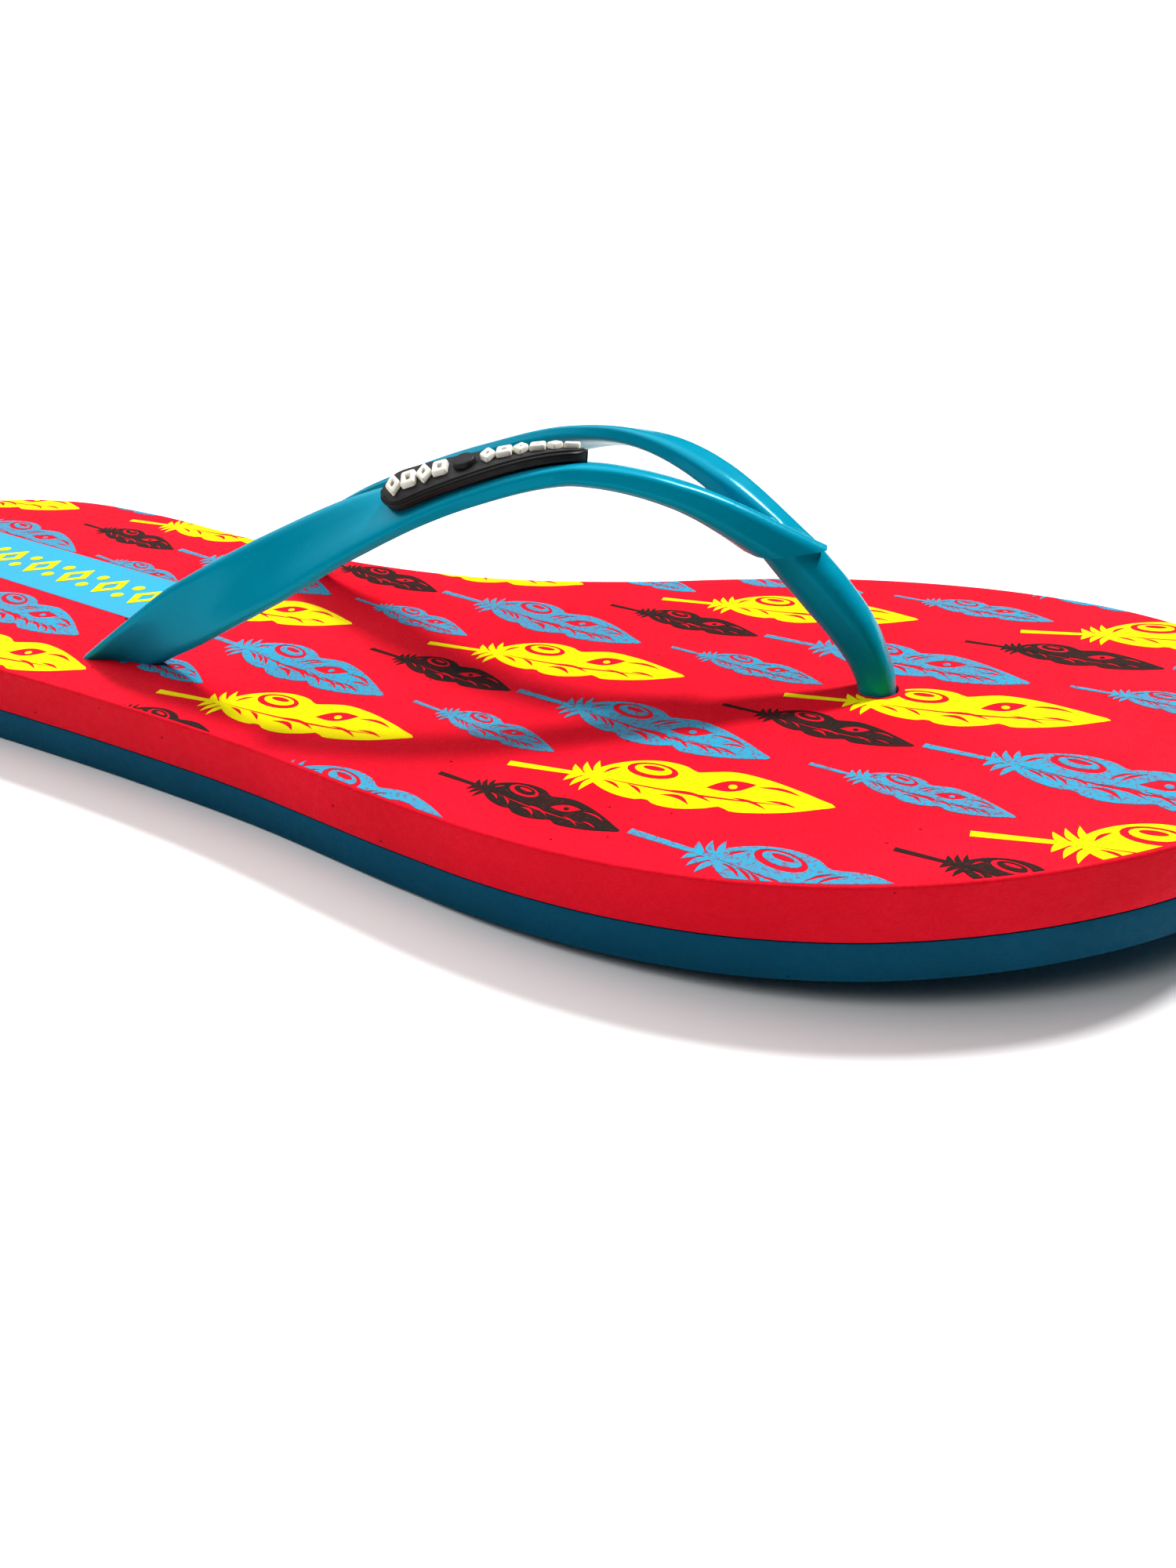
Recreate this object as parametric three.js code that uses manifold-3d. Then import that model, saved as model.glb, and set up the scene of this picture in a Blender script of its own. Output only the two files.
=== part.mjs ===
// A flip-flop for the right foot: a two-layer foam sole, a moulded V strap, a toe post and a badge.
// Millimetres, +Z up. Inside the sandal group X runs from the heel (0) to the toe, and +Y is the big
// toe's side.
import * as THREE from 'three';
import { mergeVertices } from 'three/addons/utils/BufferGeometryUtils.js';
import Module from 'manifold-3d';

const wasm = await Module();
wasm.setup();

// ---- Driving dimensions -------------------------------------------------------------------------

const SOLE_THICKNESS = 12.5;
const OUTSOLE_THICKNESS = 5.3;
const FLAT_LENGTH = 130;          // the underside is flat from the heel to here
const TOE_SPRING = 0.00055;       // rise per square millimetre past the flat length
const GLUE_GAP = 0.3;             // between the two foam layers
const CUT_GAP = 0.3;              // between neighbouring parts of the sole
const HEEL_LINE = 78;             // where the heel bends up
const TOE_LINE = 207;             // where the toe bends up
const OUTLINE_SAMPLES = 110;

// The sole's outline, heel first, along the little toe's side and back along the big toe's side.
const SOLE_OUTLINE = [
  [0, 1.5], [5, -15.8], [15, -24.7], [30, -30], [50, -31.5], [75, -32.8], [100, -34.6], [125, -37.3],
  [150, -41.7], [165, -43.9], [180, -44.5], [195, -43], [210, -38.7], [225, -30.8], [237, -20.9],
  [246, -7.9], [250, 6], [246.5, 20], [237.5, 31.2], [225, 40.2], [210, 45.3], [195, 46.7],
  [180, 45.1], [165, 40.5], [150, 34.3], [125, 26.6], [100, 24.6], [75, 27.4], [50, 31.4],
  [30, 31.8], [15, 27.1], [5, 17.9],
];

const STEM_RADIUS = 2.6;
const STEM_TOP = 2.5;             // how far a side stem reaches into its arm
const STEM_HOLE_RADIUS = 3.6;
const DISC_RADIUS = 6.2;
const DISC_THICKNESS = 2.6;
const RECESS_RADIUS = 6.6;
const RECESS_DEPTH = 3.6;
const OUTER_ANCHOR = new THREE.Vector2(92.4, -23);
const INNER_ANCHOR = new THREE.Vector2(91.4, 16.9);
const POST_HOLE = new THREE.Vector2(196.8, 5.6);

// Each strap arm: its middle line from the side anchor to the V, how far its broad face leans
// outward from level (degrees), and its width and thickness, all at even steps along it.
const OUTER_ARM = {
  side: -1,
  line: [
    [87.6, -23.6, 9.9], [104.2, -21.4, 20.7], [118.5, -19, 28.8], [132, -15.9, 36],
    [145.2, -12.1, 40.9], [158, -7.1, 43], [170.1, -1.8, 40.3], [186.4, 4.9, 30.9],
  ],
  lean: [106, 84, 64, 44, 16, -12, -12, -24],
  width: [6.6, 9, 9, 8, 6.8, 6.6, 6.4, 6.2],
  thickness: [2.4, 2.4, 2.4, 2.5, 2.7, 2.8, 3.6, 6],
};
const INNER_ARM = {
  side: 1,
  line: [
    [89.6, 16.9, 9.6], [105.6, 17.7, 22], [120.8, 17.5, 29.8], [135, 16.5, 36.2],
    [148.2, 15.1, 41], [159.9, 12.4, 42.7], [171.3, 9.2, 40.1], [186, 6.1, 30],
  ],
  lean: [104, 84, 64, 46, 30, 12, 0, 8],
  width: [6.4, 7.8, 7.8, 6.9, 6.2, 5.4, 5.4, 5.4],
  thickness: [2.4, 2.4, 2.4, 2.4, 2.3, 2.4, 3, 5.8],
};
const ARM_CORNER = 0.3;           // corner radius of a section, as a share of its side
const ARM_STEPS = 26;
const YOKE_LINE = [
  [174.5, 4.3, 37.2], [177.2, 4.7, 35.7], [179.8, 5, 34], [182.2, 5.1, 32.6], [184, 5.2, 31],
  [186, 5.3, 29.2],
];
const YOKE_WIDTH = [2.2, 4.2, 5.6, 6, 6.2, 6.2];
const YOKE_HEIGHT = [2.4, 3.6, 4.8, 6, 7, 7.6];
const YOKE_STEPS = 16;
const YOKE_CORNER = 0.35;

const POST_LINE = [
  [180.4, 5.1, 35.5], [184.6, 5.2, 31.2], [188.5, 5.3, 27.4], [192.2, 5.4, 23.4], [194.7, 5.45, 19.7],
  [196.4, 5.55, 15.7], [196.8, 5.6, 11], [196.8, 5.6, 4],
];
const POST_ALONG = [6.2, 6.3, 6.4, 6, 5.2, 4.8, 4.8, 4.8];
const POST_ACROSS = [6.2, 6.2, 6, 5.8, 5.4, 5.2, 5, 5];
const POST_STEPS = 22;
const POST_CORNER = 0.42;
const POST_STEM_TOP = 6;

// The plane where the strap ends and the toe post comes out of it, tilted about Y.
const COLLAR_POINT = new THREE.Vector3(183.8, 5.2, 33.2);
const COLLAR_TILT = 5;

const BADGE_START = 0.474;        // along the outer arm, as a share of its length
const BADGE_END = 0.735;
const BADGE_WIDTH = 6.2;
const BADGE_THICKNESS = 1.2;
const BADGE_SEAT = 0.3;
const BADGE_INWARD = 0.8;         // the badge sits nearer the arm's upper edge
const BADGE_CORNER = 0.22;
const BADGE_BLUNT = 0.35;         // width of its blunt ends, as a share of the middle's
const BADGE_STEPS = 24;
const MARK_HEIGHT = 0.6;
const MARK_LENGTH = 2.05;
const MARK_WIDTH = 3.4;
const DOT_RADIUS = 1.5;
const FIRST_MARKS = 4;
const SECOND_MARKS = 6;

const materials = {
  footbed: new THREE.MeshStandardMaterial({ color: 0xe01228, roughness: 0.85, metalness: 0 }),
  outsole: new THREE.MeshStandardMaterial({ color: 0x06475d, roughness: 0.85, metalness: 0 }),
  strap: new THREE.MeshStandardMaterial({ color: 0x0787a0, roughness: 0.3, metalness: 0 }),
  badge: new THREE.MeshStandardMaterial({ color: 0x18181a, roughness: 0.5, metalness: 0 }),
  mark: new THREE.MeshStandardMaterial({ color: 0xf4f1e6, roughness: 0.5, metalness: 0 }),
};

// ---- Solids and meshes --------------------------------------------------------------------------

function toSolid(geometry) {
  const bare = geometry.clone();
  bare.deleteAttribute('normal');
  bare.deleteAttribute('uv');
  const merged = mergeVertices(bare, 1e-4);
  return new wasm.Manifold(new wasm.Mesh({
    numProp: 3,
    vertProperties: new Float32Array(merged.attributes.position.array),
    triVerts: new Uint32Array(merged.index.array),
  }));
}

function toMesh(solid, name, material) {
  const { vertProperties, triVerts } = solid.getMesh();
  const geometry = new THREE.BufferGeometry();
  geometry.setAttribute('position', new THREE.BufferAttribute(vertProperties, 3));
  geometry.setIndex(new THREE.BufferAttribute(triVerts, 1));
  geometry.computeVertexNormals();
  const mesh = new THREE.Mesh(geometry, material);
  mesh.name = name;
  return mesh;
}

function joined(solids) {
  return solids.reduce((whole, solid) => whole.add(solid));
}

function uprightCylinder(centre, radius, bottom, top, sides = 28) {
  const geometry = new THREE.CylinderGeometry(radius, radius, top - bottom, sides);
  geometry.rotateX(Math.PI / 2);
  geometry.translate(centre.x, centre.y, (bottom + top) / 2);
  return toSolid(geometry);
}

function block(xLow, xHigh, zLow, zHigh) {
  const wide = 200;
  const geometry = new THREE.BoxGeometry(xHigh - xLow, wide, zHigh - zLow);
  geometry.translate((xLow + xHigh) / 2, 0, (zLow + zHigh) / 2);
  return toSolid(geometry);
}

// Value of an evenly spaced list at t from 0 to 1.
function along(list, t) {
  const place = t * (list.length - 1);
  const index = Math.min(Math.floor(place), list.length - 2);
  return THREE.MathUtils.lerp(list[index], list[index + 1], place - index);
}

// A unit square with round corners, the section that every bent bar starts from.
function roundSection(corner) {
  const inner = 0.5 - corner;
  const section = new THREE.Shape();
  section.absarc(inner, inner, corner, 0, Math.PI / 2);
  section.absarc(-inner, inner, corner, Math.PI / 2, Math.PI);
  section.absarc(-inner, -inner, corner, Math.PI, 1.5 * Math.PI);
  section.absarc(inner, -inner, corner, 1.5 * Math.PI, 2 * Math.PI);
  section.closePath();
  return section;
}

// A straight bar with its points moved to place(t, u, v), where t runs along it and u, v across.
function bentBar(section, steps, curveSegments, place) {
  const bar = new THREE.ExtrudeGeometry(section, { depth: 1, steps, curveSegments, bevelEnabled: false });
  const points = bar.attributes.position;
  for (let i = 0; i < points.count; i += 1) {
    const moved = place(points.getZ(i), points.getX(i), points.getY(i));
    points.setXYZ(i, moved.x, moved.y, moved.z);
  }
  return toSolid(bar);
}

function lineCurve(points) {
  return new THREE.CatmullRomCurve3(points.map((point) => new THREE.Vector3(...point)));
}

// ---- Sole ---------------------------------------------------------------------------------------

function springHeight(x) {
  const past = Math.max(0, x - FLAT_LENGTH);
  return TOE_SPRING * past * past;
}

const outlineCurve = new THREE.CatmullRomCurve3(
  SOLE_OUTLINE.map(([x, y]) => new THREE.Vector3(x, y, 0)), true, 'centripetal',
);
const outlinePoints = outlineCurve.getSpacedPoints(OUTLINE_SAMPLES).slice(0, -1);
const outlineBox = new THREE.Box3().setFromPoints(outlinePoints);

function outlinePrism() {
  const outline = new THREE.Shape(outlinePoints.map((point) => new THREE.Vector2(point.x, point.y)));
  return toSolid(new THREE.ExtrudeGeometry(outline, { depth: 40, bevelEnabled: false }));
}

// The sole's side view between two heights above its underside, swept across the whole width.
function sideSlab(low, high) {
  const stations = [-5, FLAT_LENGTH];
  for (let x = FLAT_LENGTH + 10; x <= 260; x += 10) {
    stations.push(x);
  }
  const profile = new THREE.Shape();
  stations.forEach((x, i) => {
    if (i === 0) {
      profile.moveTo(x, low);
    } else {
      profile.lineTo(x, springHeight(x) + low);
    }
  });
  stations.reverse().forEach((x) => profile.lineTo(x, springHeight(x) + high));
  profile.closePath();
  const slab = new THREE.ExtrudeGeometry(profile, { depth: 120, bevelEnabled: false });
  slab.rotateX(Math.PI / 2);
  slab.translate(0, 60, 0);
  return toSolid(slab);
}

function stemHoles() {
  const holes = [OUTER_ANCHOR, INNER_ANCHOR, POST_HOLE].map(
    (centre) => uprightCylinder(centre, STEM_HOLE_RADIUS, -1, 30),
  );
  return joined(holes);
}

function discRecesses() {
  const recesses = [OUTER_ANCHOR, INNER_ANCHOR, POST_HOLE].map(
    (centre) => uprightCylinder(centre, RECESS_RADIUS, -1, springHeight(centre.x) + RECESS_DEPTH),
  );
  return joined(recesses);
}

function soleParts() {
  const prism = outlinePrism();
  const holes = stemHoles();
  const outsole = sideSlab(0, OUTSOLE_THICKNESS - GLUE_GAP / 2).intersect(prism)
    .subtract(holes).subtract(discRecesses());
  const footbed = sideSlab(OUTSOLE_THICKNESS + GLUE_GAP / 2, SOLE_THICKNESS).intersect(prism)
    .subtract(holes);
  const half = CUT_GAP / 2;
  const spans = {
    heel: block(-10, HEEL_LINE - half, -5, 50),
    mid: block(HEEL_LINE + half, TOE_LINE - half, -5, 50),
    toe: block(TOE_LINE + half, 260, -5, 50),
  };
  return Object.entries(spans).flatMap(([place, span]) => [
    toMesh(footbed.intersect(span), `footbed_${place}`, materials.footbed),
    toMesh(outsole.intersect(span), `outsole_${place}`, materials.outsole),
  ]);
}

// ---- Strap --------------------------------------------------------------------------------------

// Position and directions on an arm: W across its broad face, N out of the broad face.
function armFrame(arm, t) {
  const curve = lineCurve(arm.line);
  const centre = curve.getPoint(t);
  const tangent = curve.getTangent(t);
  const up = new THREE.Vector3(0, 0, 1);
  up.addScaledVector(tangent, -up.dot(tangent)).normalize();
  const outward = new THREE.Vector3().crossVectors(tangent, up).multiplyScalar(-arm.side);
  const lean = THREE.MathUtils.degToRad(along(arm.lean, t));
  const normal = up.clone().multiplyScalar(Math.cos(lean)).addScaledVector(outward, Math.sin(lean));
  const across = new THREE.Vector3().crossVectors(normal, tangent);
  return { centre, tangent, normal, across };
}

function armSolid(arm) {
  return bentBar(roundSection(ARM_CORNER), ARM_STEPS, 3, (t, u, v) => {
    const { centre, normal, across } = armFrame(arm, t);
    return centre.addScaledVector(across, u * along(arm.width, t))
      .addScaledVector(normal, v * along(arm.thickness, t));
  });
}

// A bar on a line that stays near the X-Z plane, with its own depth and width at each step.
function uprightBar(points, widths, depths, steps, corner) {
  const curve = lineCurve(points);
  const side = new THREE.Vector3(0, 1, 0);
  return bentBar(roundSection(corner), steps, 4, (t, u, v) => {
    const tangent = curve.getTangent(t);
    const normal = new THREE.Vector3().crossVectors(tangent, side).normalize();
    const across = new THREE.Vector3().crossVectors(normal, tangent);
    return curve.getPoint(t).addScaledVector(across, u * along(widths, t))
      .addScaledVector(normal, v * along(depths, t));
  });
}

function stemWithDisc(centre, top) {
  const discTop = springHeight(centre.x) + RECESS_DEPTH - GLUE_GAP;
  const stem = uprightCylinder(centre, STEM_RADIUS, discTop - 1, top, 20);
  const disc = uprightCylinder(centre, DISC_RADIUS, discTop - DISC_THICKNESS, discTop, 24);
  return stem.add(disc);
}

// Everything under the collar's plane, or above it, less a gap, near the V of the strap.
function collarSide(above, gap) {
  const size = 24;
  const geometry = new THREE.BoxGeometry(size, size, size);
  geometry.translate(0, 0, above ? size / 2 + gap : -size / 2 - gap);
  geometry.rotateY(THREE.MathUtils.degToRad(-COLLAR_TILT));
  geometry.translate(COLLAR_POINT.x, COLLAR_POINT.y, COLLAR_POINT.z);
  return toSolid(geometry);
}

function strapPart() {
  const clearOfFootbed = block(60, 200, SOLE_THICKNESS + GLUE_GAP, 80);
  const arms = [OUTER_ARM, INNER_ARM].map((arm) => armSolid(arm).intersect(clearOfFootbed));
  const yoke = uprightBar(YOKE_LINE, YOKE_WIDTH, YOKE_HEIGHT, YOKE_STEPS, YOKE_CORNER);
  const stems = [OUTER_ANCHOR, INNER_ANCHOR].map(
    (centre) => stemWithDisc(centre, SOLE_THICKNESS + STEM_TOP),
  );
  const whole = joined([...arms, yoke]).subtract(collarSide(false, 0));
  return toMesh(joined([whole, ...stems]), 'strap', materials.strap);
}

function toePostPart() {
  const post = uprightBar(POST_LINE, POST_ACROSS, POST_ALONG, POST_STEPS, POST_CORNER);
  const below = post.subtract(collarSide(true, -CUT_GAP));
  return toMesh(below.add(stemWithDisc(POST_HOLE, POST_STEM_TOP)), 'toe_post', materials.strap);
}

// ---- Badge --------------------------------------------------------------------------------------

// A place on the badge: s runs along it from 0 to 1, u across and v out of the arm's face.
function badgePoint(s, u, v) {
  const t = THREE.MathUtils.lerp(BADGE_START, BADGE_END, s);
  const frame = armFrame(OUTER_ARM, t);
  const face = along(OUTER_ARM.thickness, t) / 2 + BADGE_SEAT;
  frame.centre.addScaledVector(frame.across, u + BADGE_INWARD).addScaledVector(frame.normal, face + v);
  return frame;
}

function badgeLength() {
  const middles = Array.from({ length: 21 }, (_, i) => badgePoint(i / 20, 0, 0).centre);
  return new THREE.CatmullRomCurve3(middles).getLength();
}

function badgePlate() {
  const roundEnd = BADGE_WIDTH / 2 / badgeLength();
  const plate = bentBar(roundSection(BADGE_CORNER), BADGE_STEPS, 2, (t, u, v) => {
    const s = (1 - Math.cos(t * Math.PI)) / 2;
    const fromEnd = Math.min(s, 1 - s, roundEnd) / roundEnd;
    const width = BADGE_WIDTH * Math.max(BADGE_BLUNT, Math.sqrt(1 - (1 - fromEnd) ** 2));
    return badgePoint(s, u * width, (v + 0.5) * BADGE_THICKNESS).centre;
  });
  return toMesh(plate, 'badge_plate', materials.badge);
}

// Plain raised shapes, a lozenge and a square in turn.
function markShape(index) {
  const corners = [
    [[0, -1], [1, 0], [0, 1], [-1, 0]],
    [[-0.9, -0.7], [0.9, -0.7], [0.9, 0.7], [-0.9, 0.7]],
  ][index % 2];
  return new THREE.Shape(
    corners.map(([x, y]) => new THREE.Vector2(x * MARK_LENGTH / 2, y * MARK_WIDTH / 2)),
  );
}

function seatOnBadge(geometry, s, name, material) {
  const { centre, normal, across } = badgePoint(s, 0, BADGE_THICKNESS + BADGE_SEAT);
  const mesh = new THREE.Mesh(geometry, material);
  const lengthwise = new THREE.Vector3().crossVectors(across, normal);
  mesh.quaternion.setFromRotationMatrix(new THREE.Matrix4().makeBasis(lengthwise.negate(), across, normal));
  mesh.position.copy(centre);
  mesh.name = name;
  return mesh;
}

function badgeMarks() {
  const total = FIRST_MARKS + SECOND_MARKS;
  const slots = total + 3;
  const meshes = [];
  for (let i = 0; i < total; i += 1) {
    const slot = i < FIRST_MARKS ? i + 1 : i + 3;
    const shape = markShape(i);
    const geometry = new THREE.ExtrudeGeometry(shape, { depth: MARK_HEIGHT, bevelEnabled: false });
    const name = `badge_mark_${String(i + 1).padStart(2, '0')}`;
    meshes.push(seatOnBadge(geometry, slot / slots, name, materials.mark));
  }
  const dot = new THREE.CylinderGeometry(DOT_RADIUS, DOT_RADIUS, MARK_HEIGHT, 20);
  dot.rotateX(Math.PI / 2);
  dot.translate(0, 0, MARK_HEIGHT / 2);
  meshes.push(seatOnBadge(dot, (FIRST_MARKS + 1.5) / slots, 'badge_dot', materials.badge));
  return meshes;
}

// ---- The whole sandal ---------------------------------------------------------------------------

// The origin is on the ground under the middle of the sole's length and width.
const sandal = new THREE.Group();
const middle = outlineBox.getCenter(new THREE.Vector3());
sandal.position.set(-middle.x, -middle.y, 0);
sandal.add(...soleParts(), strapPart(), toePostPart(), badgePlate(), ...badgeMarks());

export default sandal;
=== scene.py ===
# A right-foot flip-flop: printed red foam footbed, teal foam outsole, moulded vinyl strap and a badge.
import math

import bmesh
import bpy
import numpy as np
from mathutils import Matrix, Vector
from mathutils.geometry import delaunay_2d_cdt


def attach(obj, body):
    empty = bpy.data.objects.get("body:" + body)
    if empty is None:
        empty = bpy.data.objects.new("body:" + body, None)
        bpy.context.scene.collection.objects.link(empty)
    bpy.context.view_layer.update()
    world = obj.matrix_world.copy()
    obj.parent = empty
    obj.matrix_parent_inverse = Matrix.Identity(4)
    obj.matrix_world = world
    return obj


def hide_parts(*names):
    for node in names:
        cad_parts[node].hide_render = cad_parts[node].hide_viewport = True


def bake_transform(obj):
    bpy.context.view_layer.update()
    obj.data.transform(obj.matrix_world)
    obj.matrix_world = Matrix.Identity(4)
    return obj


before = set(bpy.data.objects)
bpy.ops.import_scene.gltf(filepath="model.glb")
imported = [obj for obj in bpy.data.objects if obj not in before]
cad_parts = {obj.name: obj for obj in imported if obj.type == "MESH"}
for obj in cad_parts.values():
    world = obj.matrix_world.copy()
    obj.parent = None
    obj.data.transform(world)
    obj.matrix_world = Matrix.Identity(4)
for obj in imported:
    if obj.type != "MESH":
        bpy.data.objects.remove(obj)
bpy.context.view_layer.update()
MM = 0.001
scene = bpy.context.scene

# ---- Camera

CAMERA_PLACE = (0.0951, -0.1394, 0.0857)
CAMERA_YAW, CAMERA_PITCH, CAMERA_ROLL = -0.4311, 0.5441, -0.013
CAMERA_LENS, CAMERA_SENSOR = 27.0, 36.0
CAMERA_NEAR, CAMERA_FAR = 0.005, 50


def make_camera():
    data = bpy.data.cameras.new("camera")
    data.lens, data.sensor_width = CAMERA_LENS, CAMERA_SENSOR
    data.clip_start, data.clip_end = CAMERA_NEAR, CAMERA_FAR
    camera = bpy.data.objects.new("camera", data)
    scene.collection.objects.link(camera)
    flat = math.cos(CAMERA_PITCH)
    forward = Vector((math.sin(CAMERA_YAW) * flat, math.cos(CAMERA_YAW) * flat, -math.sin(CAMERA_PITCH)))
    level = Vector((math.cos(CAMERA_YAW), -math.sin(CAMERA_YAW), 0))
    upright = level.cross(forward)
    right = level * math.cos(CAMERA_ROLL) + upright * math.sin(CAMERA_ROLL)
    up = upright * math.cos(CAMERA_ROLL) - level * math.sin(CAMERA_ROLL)
    turn = Matrix((right, up, -forward)).transposed().to_4x4()
    camera.matrix_world = Matrix.Translation(CAMERA_PLACE) @ turn
    scene.camera = camera


make_camera()

# ---- Sizes, in millimetres, X from the heel and +Y to the big toe's side

MIDDLE = (125.0, 1.1)  # the row frame's origin, measured from the heel
SOLE_LENGTH = 250
SOLE_TOP = 12.5
LAYER_LINE = 5.3  # where the two foam layers meet
FLAT_LENGTH = 130  # the underside is flat from the heel to here
TOE_SPRING = 0.00055  # rise per square millimetre past the flat length
SOLE_SPLIT = 140  # each layer is two pieces that meet here
OUTLINE_STEP = 1.5
CURVE_SAMPLES = 1500
SOLE_OUTLINE = [
    (0, 1.5), (5, -15.8), (15, -24.7), (30, -30), (50, -31.5), (75, -32.8), (100, -34.6), (125, -37.3),
    (150, -41.7), (165, -43.9), (180, -44.5), (195, -43), (210, -38.7), (225, -30.8), (237, -20.9),
    (246, -7.9), (250, 6), (246.5, 20), (237.5, 31.2), (225, 40.2), (210, 45.3), (195, 46.7),
    (180, 45.1), (165, 40.5), (150, 34.3), (125, 26.6), (100, 24.6), (75, 27.4), (50, 31.4),
    (30, 31.8), (15, 27.1), (5, 17.9),
]
OUTER_ANCHOR, INNER_ANCHOR, POST_HOLE = (92.4, -23), (91.4, 16.9), (196.8, 5.6)
STEM_RADIUS, HOLE_RADIUS, POST_HOLE_RADIUS = 2.6, 2.7, 2.46
NECK_RADIUS, NECK_FOOT = 0.95, 11.2  # where the foam closes in over a side plug's stem
NECK_TAPER, NECK_TOP, POST_STEM_TOP, PLUG_SIDES = 0.4, SOLE_TOP - 0.05, 8, 40
RECESS_RADIUS, RECESS_DEPTH = 6.6, 3.6
DISC_THICKNESS, DISC_GAP = 2.6, 0.3  # the gap is under the recess's ceiling
HEEL_BEND = (84.0, 56.0)  # where the middle ends and the heel begins, along X
TOE_BEND = (204.0, 230.0)
BEND_STEP, PLAIN_STEP = 2.0, 6.0  # between rows of vertices in and out of a bend
FIRST_X, LAST_X = 2.0, 249
BEFORE_BEND, PAST_BEND = 4, 2

OUTER_ARM = {
    "side": -1,
    "line": [
        (87.4, -23.6, 10.2), (104.2, -21.4, 20.7), (118.5, -19, 28.8), (132, -15.9, 36),
        (145.2, -12.1, 40.9), (158, -7.1, 43), (170.1, -1.8, 40.3), (186.4, 4.9, 30.9),
    ],
    "lean": [106, 84, 64, 44, 16, -12, -12, -24],
    "width": [5.9, 9, 9, 8, 6.8, 6.6, 6.4, 6.2],
    "thickness": [2.4, 2.4, 2.4, 2.5, 2.7, 2.8, 3.6, 6],
}
INNER_ARM = {
    "side": 1,
    "line": [
        (89.6, 16.9, 9.6), (105.6, 17.7, 22), (120.8, 17.5, 29.8), (135, 16.5, 36.2),
        (148.2, 15.1, 41), (159.9, 12.4, 42.7), (171.3, 9.2, 40.1), (186, 6.1, 30),
    ],
    "lean": [104, 84, 64, 46, 30, 12, 0, 8],
    "width": [6.4, 7.8, 7.8, 6.9, 6.2, 5.4, 5.4, 5.4],
    "thickness": [2.4, 2.4, 2.4, 2.4, 2.3, 2.4, 3, 5.8],
}
ARM_STEPS, ARM_CORNER = 110, 0.3  # corner radius as a share of the section's side
STRAP_FOOT = SOLE_TOP - 0.1  # the arms are cut off level just inside the footbed
DISH = [0.5, 0.55, 0.5, 0.3, 0.1, 0, 0, 0]  # hollow of an arm's broad face, along the arm
DISH_WIDTH, DISH_POWER = 0.4, 0.7
YOKE_LINE = [
    (174.5, 4.3, 37.2), (177.2, 4.7, 35.7), (179.8, 5, 34), (182.2, 5.1, 32.6), (184, 5.2, 31),
    (186, 5.3, 29.2),
]
YOKE_WIDTH = [2.2, 4.2, 5.6, 6, 6.2, 6.2]
YOKE_HEIGHT = [2.4, 3.6, 4.8, 6, 7, 7.6]
YOKE_STEPS, YOKE_CORNER = 40, 0.36
POST_LINE = [
    (180.4, 5.1, 35.5), (184.6, 5.2, 31.2), (188.5, 5.3, 27.4), (192.2, 5.4, 23.4), (194.7, 5.45, 19.7),
    (196.4, 5.55, 15.7), (196.8, 5.6, 11), (196.8, 5.6, 4),
]
POST_ALONG = [6.2, 6.3, 6.4, 6, 5.2, 4.8, 4.8, 4.8]
POST_ACROSS = [6.2, 6.2, 6, 5.8, 5.4, 5.2, 5, 5]
POST_STEPS, POST_CORNER = 70, 0.42
CREASE_DEPTH, CREASE_PLACE, CREASE_WIDTH = 0.055, 0.3, 0.06  # a fine line down the post's front
CREASE_START, CREASE_FULL = 0.03, 0.12
COLLAR_POINT, COLLAR_TILT = (183.8, 5.2, 33.2), 5  # the plane where the toe post leaves the strap
COLLAR_JOIN, COLLAR_BLOCK = 0.02, 24
STRAP_SHARP, POST_SHARP, BADGE_SHARP, INK_SHARP = 38, 40, 50, 30  # degrees

BADGE_START, BADGE_END = 0.474, 0.735  # along the outer arm, as shares of its length
BADGE_WIDTH, BADGE_THICKNESS, BADGE_SEAT, BADGE_INWARD = 6.2, 1.2, 0.3, 0.8
BADGE_SUNK, BADGE_BLUNT, BADGE_CORNER = 0.05, 0.3, 0.26
LIP_INSET, LIP_RISE, LIP_SUNK, LIP_START, LIP_CORNER = 1.0, 0.15, 0.2, 0.018, 0.3
MARK_LENGTH, MARK_WIDTH, MARK_HEIGHT = 2.2, 3.5, 0.6
MARK_SUNK, MARK_ROUND, DOT_RADIUS, DOT_SIDES = 0.1, 0.42, 1.5, 28
FIRST_MARKS, SECOND_MARKS = 4, 6

# ---- Curves and small helpers


def row(x, y, z):
    return Vector(((x - MIDDLE[0]) * MM, (y - MIDDLE[1]) * MM, z * MM))


def spring(x):
    past = max(0.0, x - FLAT_LENGTH)
    return TOE_SPRING * past * past


def unit(vector):
    return vector / np.linalg.norm(vector)


def along(values, t):
    place = t * (len(values) - 1)
    index = min(int(place), len(values) - 2)
    return values[index] + (values[index + 1] - values[index]) * (place - index)


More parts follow.
